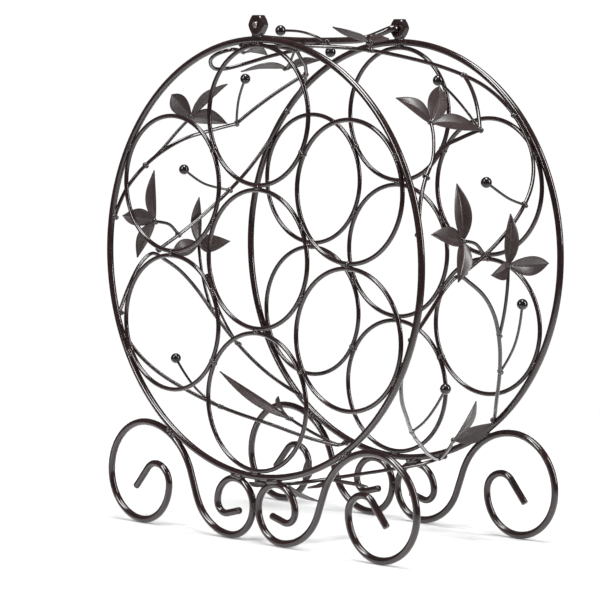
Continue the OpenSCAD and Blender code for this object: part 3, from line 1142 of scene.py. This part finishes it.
@dataclass
class LeafPress:
    """Stamps leaves: pointed blades folded along the midrib, with a pressed rib and thin edges."""

    shop: Workshop
    thickness: float = 1.15 * MM
    cup: float = 0.28
    stations: int = 30
    strips: int = 12
    rib_depth: float = 0.32 * MM
    rib_width: float = 0.13

    def piece(self, name: str, leaves: Sequence[Leaf], hand: Hand) -> bpy.types.Object:
        """Stamp some leaves into one piece.

        Args:
            name: Name of the piece.
            leaves: The leaves.
            hand: Which half of the rack they are on.

        Returns:
            The piece.
        """
        verts: list[Vector] = []
        faces: list[tuple[int, ...]] = []
        for leaf in leaves:
            self._stamp(leaf, hand, verts, faces)
        return mesh_piece(name, verts, faces, LEAF_IRON, CRISP_RIMS)

    def _outline(self, f: float, width: float) -> float:
        """Half the blade's width at a fraction of its length."""
        belly = math.sin(math.pi * f ** 0.85) ** 0.9 if 0.0 < f < 1.0 else 0.0
        return max(0.35 * MM, width * MM / 2 * belly)

    def _stamp(self, leaf: Leaf, hand: Hand, verts: list[Vector], faces: list[tuple[int, ...]]) -> None:
        """Add one blade's points and faces.

        Args:
            leaf: The leaf.
            hand: Which half of the rack it is on.
            verts: Points, added to.
            faces: Faces, added to.
        """
        sizes = self.shop.sizes
        a, b = sizes.drum(leaf.root, hand), sizes.drum(leaf.tip, hand)
        ahead = (b - a).normalized()
        out = sizes.outward((a + b) / 2)
        flat_n = (out - ahead * out.dot(ahead)).normalized()
        roll = math.radians(leaf.roll)
        flat_s = ahead.cross(flat_n) * hand.value
        normal = flat_n * math.cos(roll) + flat_s * math.sin(roll)
        across = ahead.cross(normal)
        faces += skin_faces(len(verts), self.stations + 1, 2 * (self.strips + 1))
        for i in range(self.stations + 1):
            f = i / self.stations
            half = self._outline(f, leaf.width)
            spine = a + (b - a) * f + normal * leaf.bow * MM * math.sin(math.pi * f)
            rib = self.rib_depth * min(1.0, half / (2.5 * MM))
            upper, under = [], []
            for k in range(self.strips + 1):
                s = 2 * k / self.strips - 1
                fold = half * self.cup * (math.sqrt(s * s + 0.012) - 0.1)
                groove = -rib * math.exp(-(s / self.rib_width) ** 2)
                rim = self.thickness / 2 * (1 - 0.45 * abs(s) ** 5)
                middle = spine + across * half * s + normal * (fold + groove)
                upper.append(middle + normal * rim)
                under.append(middle - normal * rim)
            verts += upper + list(reversed(under))


# --------------------------------------------------------------------------------------------
# Vines
# --------------------------------------------------------------------------------------------

Route = list[Place]


@dataclass
class Sprig:
    """Some vine wires with their leaves and berries. Places are bearing, depth and lift."""

    shop: Workshop
    hand: Hand
    wire_d: float = 3.0 * MM
    stem_d: float = 2.0 * MM
    berry_d: float = 8.3 * MM
    weld_d: float = 4.4 * MM
    wander: float = 0.25 * MM

    def line(self, route: Sequence[Place], steps: int = 12) -> Line:
        """The smooth line through a route on the drum.

        Args:
            route: The places it passes through.
            steps: Points from place to place.

        Returns:
            The line, with its ends rounded.
        """
        full = [(p[0], p[1], p[2] if len(p) > 2 else 0.0) for p in route]
        points = [self.shop.sizes.drum(p, self.hand) for p in smooth_line(full, steps)]
        return Line(points).eased_ends(0.6 * MM)

    def wires(self, node: str, routes: Sequence[Route], diameter: float, seed: float) -> None:
        """Make the wires that stand for one node.

        Args:
            node: The node.
            routes: The wires' routes.
            diameter: Their thickness in metres.
            seed: Which wander they get.
        """
        piece = self.shop.rods.rod(node + "_rods", [self.line(r) for r in routes], WIRE_IRON, diameter, 16,
                                   wander=self.wander, seed=seed)
        self.shop.fit(piece, Body.RACK, WIRE_IRON, node)

    def berries(self, node: str, places: Sequence[Place]) -> None:
        """Make the berries that stand for one node.

        Args:
            node: The node.
            places: The berries' middles.
        """
        points = [self.shop.sizes.drum(p, self.hand) for p in places]
        piece = self.shop.balls.balls(node + "_balls", points, BERRY_IRON, self.berry_d, variety=0.03,
                                      wander=0.12 * MM, grain=180.0)
        self.shop.fit(piece, Body.RACK, BERRY_IRON, node)

    def leaves(self, node: str, leaves: Sequence[Leaf]) -> None:
        """Make the leaves that stand for one node.

        Args:
            node: The node.
            leaves: The leaves.
        """
        piece = LeafPress(self.shop).piece(node + "_blades", leaves, self.hand)
        self.shop.fit(piece, Body.RACK, LEAF_IRON, node)

    def welds(self, name: str, places: Sequence[Place]) -> None:
        """Make the small beads that hold the sprig together.

        Args:
            name: Name of the piece.
            places: The beads' middles.
        """
        points = []
        for place in places:
            for shift in (-0.9, 0.9):
                points.append(self.shop.sizes.drum((place[0] + shift * 0.25, place[1] + shift,
                                                    place[2] if len(place) > 2 else 0.0), self.hand))
        piece = self.shop.balls.balls(name, points, WELD_IRON, self.weld_d, variety=0.2, wander=0.8 * MM,
                                      grain=300.0, seed=4.0)
        self.shop.fit(piece, Body.RACK, WELD_IRON)


@dataclass
class SideVine(Sprig):
    """The vine that ties the two frames together on one side."""

    crown: Route = field(default_factory=lambda: [
        [7, 0.5], [8, 20], [10, 50], [14, 80], [20, 103], [27, 128], [35, 147], [44, 154.6], [53, 155],
        [61, 151], [68, 141], [74, 126], [80, 105], [86, 78], [91, 50]])
    spray: Route = field(default_factory=lambda: [
        [81, 0.5], [72, 10], [64, 28], [58, 52], [55, 78], [52.5, 105]])
    link: Route = field(default_factory=lambda: [[31, 139], [37, 131], [44, 120], [52.5, 105]])
    hoop: Route = field(default_factory=lambda: [
        [108, 0.5], [101, 15], [95, 29], [92, 43], [94, 57], [98, 75], [104, 91], [112, 105], [119, 116],
        [131, 136], [141, 157.5]])
    low: Route = field(default_factory=lambda: [
        [115, 0.5], [121, 8], [127, 20], [133, 37], [141, 62], [150, 95], [157, 124, 4], [161, 147, 7],
        [161.5, 157.3, 5.8]])
    upper_hub: Place = (50.5, 52, 2)
    middle_hub: Place = (83, 47, 2)
    side_hub: Place = (90, 97, 2)
    low_hub: Place = (148, 127, 3)

    def build(self) -> None:
        """Make every wire, leaf, berry and bead of this side."""
        word = self.hand.word
        for i, (name, route) in enumerate((("crown", self.crown), ("spray", self.spray), ("link", self.link),
                                           ("hoop", self.hoop), ("low", self.low))):
            self.wires(f"{word}_{name}_wire", [route], self.wire_d, 20.0 + i)
        self.wires(f"{word}_twig_wires", [
            [(66, 23), (61, 36, 1), (55, 46, 2), self.upper_hub],
            [(87, 72), (84, 62, 1), self.middle_hub],
            [(109, 101), (101, 99, 1), self.side_hub],
            [(161, 148, 7), (156, 140, 5.5), (151, 132, 4), self.low_hub]], self.wire_d * 0.85, 31.0)
        berries = [(37, 88, 7), (69, 76, 9), (100, 111, 7), (122, 52, 7)]
        self.wires(f"{word}_berry_stems", [
            [(52.5, 105), (45, 96, 4), berries[0]],
            [(74.5, 125), (73, 100, 6), berries[1]],
            [(120.5, 119), (111, 116, 5), berries[2]],
            [(141, 62), (133, 56, 5), berries[3]]], self.stem_d, 33.0)
        self.berries(f"{word}_berries", berries)
        self._leaves(word)
        self.welds(f"{word}_vine_welds", [
            (7, 1.5), (81, 1.5), (108, 1.5), (115, 1.5), (141, 156.5), (161.5, 156.5, 6), (48, 155.2),
            (31, 139), (52.5, 105), (66, 23), (87, 72), (109, 101), (161, 148, 7), (91, 50),
            (74.5, 125), (120.5, 119), (141, 62),
            self.upper_hub, self.middle_hub, self.side_hub, self.low_hub])

    def _leaves(self, word: str) -> None:
        """The four leaf clusters.

        Args:
            word: This side's name in the node names.
        """
        self.leaves(f"{word}_upper_leaves", [
            Leaf(self.upper_hub, (44, 23, 8), 15, 3, -12),
            Leaf(self.upper_hub, (40.5, 78, 10), 16, 2),
            Leaf(self.upper_hub, (53.5, 99, 4), 15, 3)])
        self.leaves(f"{word}_middle_leaves", [
            Leaf(self.middle_hub, (69, 43, 9), 15, 2, -15),
            Leaf(self.middle_hub, (93, 34, 8), 15, 2, 8),
            Leaf(self.middle_hub, (81, 12, 3), 15, 1.5, 15)])
        self.leaves(f"{word}_side_leaves", [
            Leaf(self.side_hub, (77, 98, 7), 14, 1, -8),
            Leaf(self.side_hub, (90, 138, 7), 15, 3, 10),
            Leaf(self.side_hub, (92, 72, 7), 14, 2, -8)])
        self.leaves(f"{word}_low_leaves", [
            Leaf(self.low_hub, (127, 95, 9), 12, 2, 5),
            Leaf(self.low_hub, (137.5, 141, 8), 15, 2, -40)])


@dataclass
class CrownSprig(Sprig):
    """The sprigs on the crown, under the handle, and the tendril that curls behind the front ring."""

    hub: Place = (1, 70, 2)
    rear_hub: Place = (3, 114, 2)
    left_hub: Place = (-29, 112, 2)
    tendril_root: Place = (-18, 35, 1)

    def build(self) -> None:
        """Make the tendril, the stems, the berries and the leaves."""
        self.wires("crown_tendril", [[
            self.tendril_root, (-15.5, 21, 1), (-15, 12, 0.5), (-18, 7), (-23, 12), (-28, 28), (-28, 43),
            (-24, 58), (-19, 69), (-14, 80), (-9, 79, -1.5), (-4, 75), self.hub]], self.wire_d, 43.0)
        berries = [(-3, 33, 10), (2, 73, -6)]
        self.wires("crown_stems", [
            [self.hub, (1, 58, 6), (-0.6, 46, 9.2), berries[0]],
            [self.hub, (2, 73, -2), berries[1]],
            [(14, 80), (9, 97, -1.2), self.rear_hub],
            [(-14, 80), (-20, 95, 1.5), (-25, 106, 2), self.left_hub]], self.stem_d, 41.0)
        self.berries("crown_berries", berries)
        self.leaves("crown_leaves", [
            Leaf(self.rear_hub, (1, 78, 13), 12, -1, 15),
            Leaf(self.rear_hub, (2, 139, 5), 12, 1, 22),
            Leaf(self.tendril_root, (-18.5, 62), 13, 2),
            Leaf(self.left_hub, (-31, 66, 2), 13, 2, -8),
            Leaf(self.left_hub, (-23, 134, 1), 12, 1, -14)])
        self.welds("crown_sprig_welds", [self.hub, self.rear_hub, self.left_hub, (14, 81), (-14, 80)])


@dataclass
class FloorSprig(Sprig):
    """The wire under the two big rings and the leaves on it."""

    hub: Place = (169, 44, 9)

    def build(self) -> None:
        """Make the wire and its leaves."""
        self.wires("floor_wire", [[
            (163, 157.3, 5.8), (165, 140, 8), (167, 110, 8.5), (168, 75, 8.5), (169, 44, 8.5), (172, 18, 8.5),
            (177, 5, 7.2), (180, 0.8, 6.2)]], self.wire_d, 51.0)
        self.leaves("floor_leaves", [
            Leaf(self.hub, (169, 88, 19), 12, -1, 15),
            Leaf(self.hub, (170, 25, 13), 12, 1),
            Leaf((171, 26, 8.5), (169, 25, -9), 10, 1),
            Leaf((177, 10, 8), (187, 14, 12), 12, 1),
            Leaf((173, 14, 10), (172, 42, 25), 11, 1)])
        self.welds("floor_sprig_welds", [self.hub, (163, 156.5, 6), (180, 1.5, 6.2)])


# --------------------------------------------------------------------------------------------
# Studio
# --------------------------------------------------------------------------------------------

@dataclass(frozen=True)
class Softbox:
    """A softbox's place and size: degrees from the camera, then metres, and its power in watts."""

    name: str
    azimuth: float
    elevation: float
    distance: float
    width: float
    height: float
    power: float


@dataclass
class Studio:
    """Pale floor, soft lights and the camera."""

    sizes: Layout
    azimuth: float = 43.97
    elevation: float = 4.85
    roll: float = 0.38
    distance: float = 2.092
    lens: float = 160.2
    aim: tuple[float, float, float] = (-0.031, 0.0, -0.037)
    floor_solid: float = 0.3
    floor_gone: float = 0.95
    ambient: float = 0.14
    backdrop: float = 1.02
    softboxes: tuple[Softbox, ...] = (
        Softbox("left_softbox", -58.0, 30.0, 2.0, 0.32, 1.5, 40.0),
        Softbox("right_softbox", 70.0, 24.0, 2.0, 0.26, 1.5, 40.0),
        Softbox("top_softbox", 10.0, 84.0, 2.4, 0.9, 1.5, 92.0))

    def build(self) -> None:
        """Set the floor, the lights, the surroundings and the camera."""
        self._floor()
        self._world()
        for softbox in self.softboxes:
            self._hang(softbox)
        self._camera()

    def _away(self, azimuth: float, elevation: float) -> Vector:
        """The direction towards a viewer at an azimuth and elevation in degrees."""
        a, e = math.radians(azimuth), math.radians(elevation)
        return Vector((math.sin(a) * math.cos(e), -math.cos(a) * math.cos(e), math.sin(e)))

    def _floor(self) -> None:
        """A wide pale floor with a faint sheen."""
        half = self.floor_gone * 1.2
        mesh = bpy.data.meshes.new("studio_floor")
        corners = [(-half, -half, 0.0), (half, -half, 0.0), (half, half, 0.0), (-half, half, 0.0)]
        mesh.from_pydata(corners, [], [(0, 1, 2, 3)])
        mat = bpy.data.materials.new("studio_floor")
        mat.use_nodes = True
        nodes, links = mat.node_tree.nodes, mat.node_tree.links
        shader = nodes["Principled BSDF"]
        shader.inputs["Base Color"].default_value = (0.95, 0.95, 0.95, 1.0)
        shader.inputs["Roughness"].default_value = 0.2
        # Far off, the floor melts into the white surroundings, so no horizon shows.
        reach = nodes.new("ShaderNodeVectorMath")
        reach.operation = "LENGTH"
        links.new(nodes.new("ShaderNodeTexCoord").outputs["Object"], reach.inputs[0])
        fade = nodes.new("ShaderNodeMapRange")
        fade.inputs["From Min"].default_value = self.floor_solid
        fade.inputs["From Max"].default_value = self.floor_gone
        links.new(reach.outputs["Value"], fade.inputs["Value"])
        clear = nodes.new("ShaderNodeBsdfTransparent")
        mix = nodes.new("ShaderNodeMixShader")
        links.new(fade.outputs["Result"], mix.inputs["Fac"])
        links.new(shader.outputs["BSDF"], mix.inputs[1])
        links.new(clear.outputs["BSDF"], mix.inputs[2])
        links.new(mix.outputs["Shader"], nodes["Material Output"].inputs["Surface"])
        mesh.materials.append(mat)
        floor = bpy.data.objects.new("studio_floor", mesh)
        bpy.context.scene.collection.objects.link(floor)

    def _world(self) -> None:
        """Surroundings that look white but light the rack only faintly, so its gloss stays dark."""
        world = bpy.data.worlds.new("studio")
        bpy.context.scene.world = world
        world.use_nodes = True
        nodes, links = world.node_tree.nodes, world.node_tree.links
        back = nodes["Background"]
        back.inputs["Color"].default_value = (1.0, 1.0, 1.0, 1.0)
        path = nodes.new("ShaderNodeLightPath")
        strength = nodes.new("ShaderNodeMapRange")
        strength.inputs["To Min"].default_value = self.ambient
        strength.inputs["To Max"].default_value = self.backdrop
        links.new(path.outputs["Is Camera Ray"], strength.inputs["Value"])
        links.new(strength.outputs["Result"], back.inputs["Strength"])

    def _hang(self, softbox: Softbox) -> None:
        """Hang a softbox beside the camera, turned to the rack.

        Args:
            softbox: The softbox.
        """
        light = bpy.data.lights.new(softbox.name, "AREA")
        light.shape = "RECTANGLE"
        light.size, light.size_y, light.energy = softbox.width, softbox.height, softbox.power
        box = bpy.data.objects.new(softbox.name, light)
        away = self._away(self.azimuth + softbox.azimuth, softbox.elevation)
        box.location = Vector((0.0, 0.0, self.sizes.ring_h)) + away * softbox.distance
        box.rotation_euler = (-away).to_track_quat("-Z", "Y").to_euler()
        bpy.context.scene.collection.objects.link(box)

    def _camera(self) -> None:
        """Stand the camera and make it the scene's own."""
        data = bpy.data.cameras.new("camera")
        data.lens, data.sensor_width = self.lens, 36.0
        data.clip_start, data.clip_end = 0.05, 60.0
        camera = bpy.data.objects.new("camera", data)
        back = self._away(self.azimuth, self.elevation)
        right = (-back).cross(Vector((0.0, 0.0, 1.0))).normalized()
        up = right.cross(-back)
        roll = math.radians(self.roll)
        turned_right = right * math.cos(roll) + up * math.sin(roll)
        turned_up = up * math.cos(roll) - right * math.sin(roll)
        target = Vector(self.aim) + Vector((0.0, _mid(*self.sizes.y.values()), self.sizes.ring_h))
        spot = target + back * self.distance
        turn = Matrix((turned_right, turned_up, back)).transposed().to_4x4()
        camera.matrix_world = Matrix.Translation(spot) @ turn
        bpy.context.scene.collection.objects.link(camera)
        bpy.context.scene.camera = camera
        bpy.context.scene.view_settings.view_transform = "Standard"


def main() -> None:
    """Build the rack from the frames outwards, then the studio."""
    logging.basicConfig(level=logging.INFO, format="%(name)s: %(message)s")
    shop = Workshop()
    for side in Side:
        RingFrame(shop, side).build()
        for hand in Hand:
            ScrollFoot(shop, side, hand).build()
        HingeNut(shop, side).build()
    Handle(shop).build()
    for hand in Hand:
        SideVine(shop, hand).build()
    CrownSprig(shop, Hand.RIGHT).build()
    FloorSprig(shop, Hand.RIGHT).build()
    Studio(shop.sizes).build()


if __name__ == "__main__":
    main()
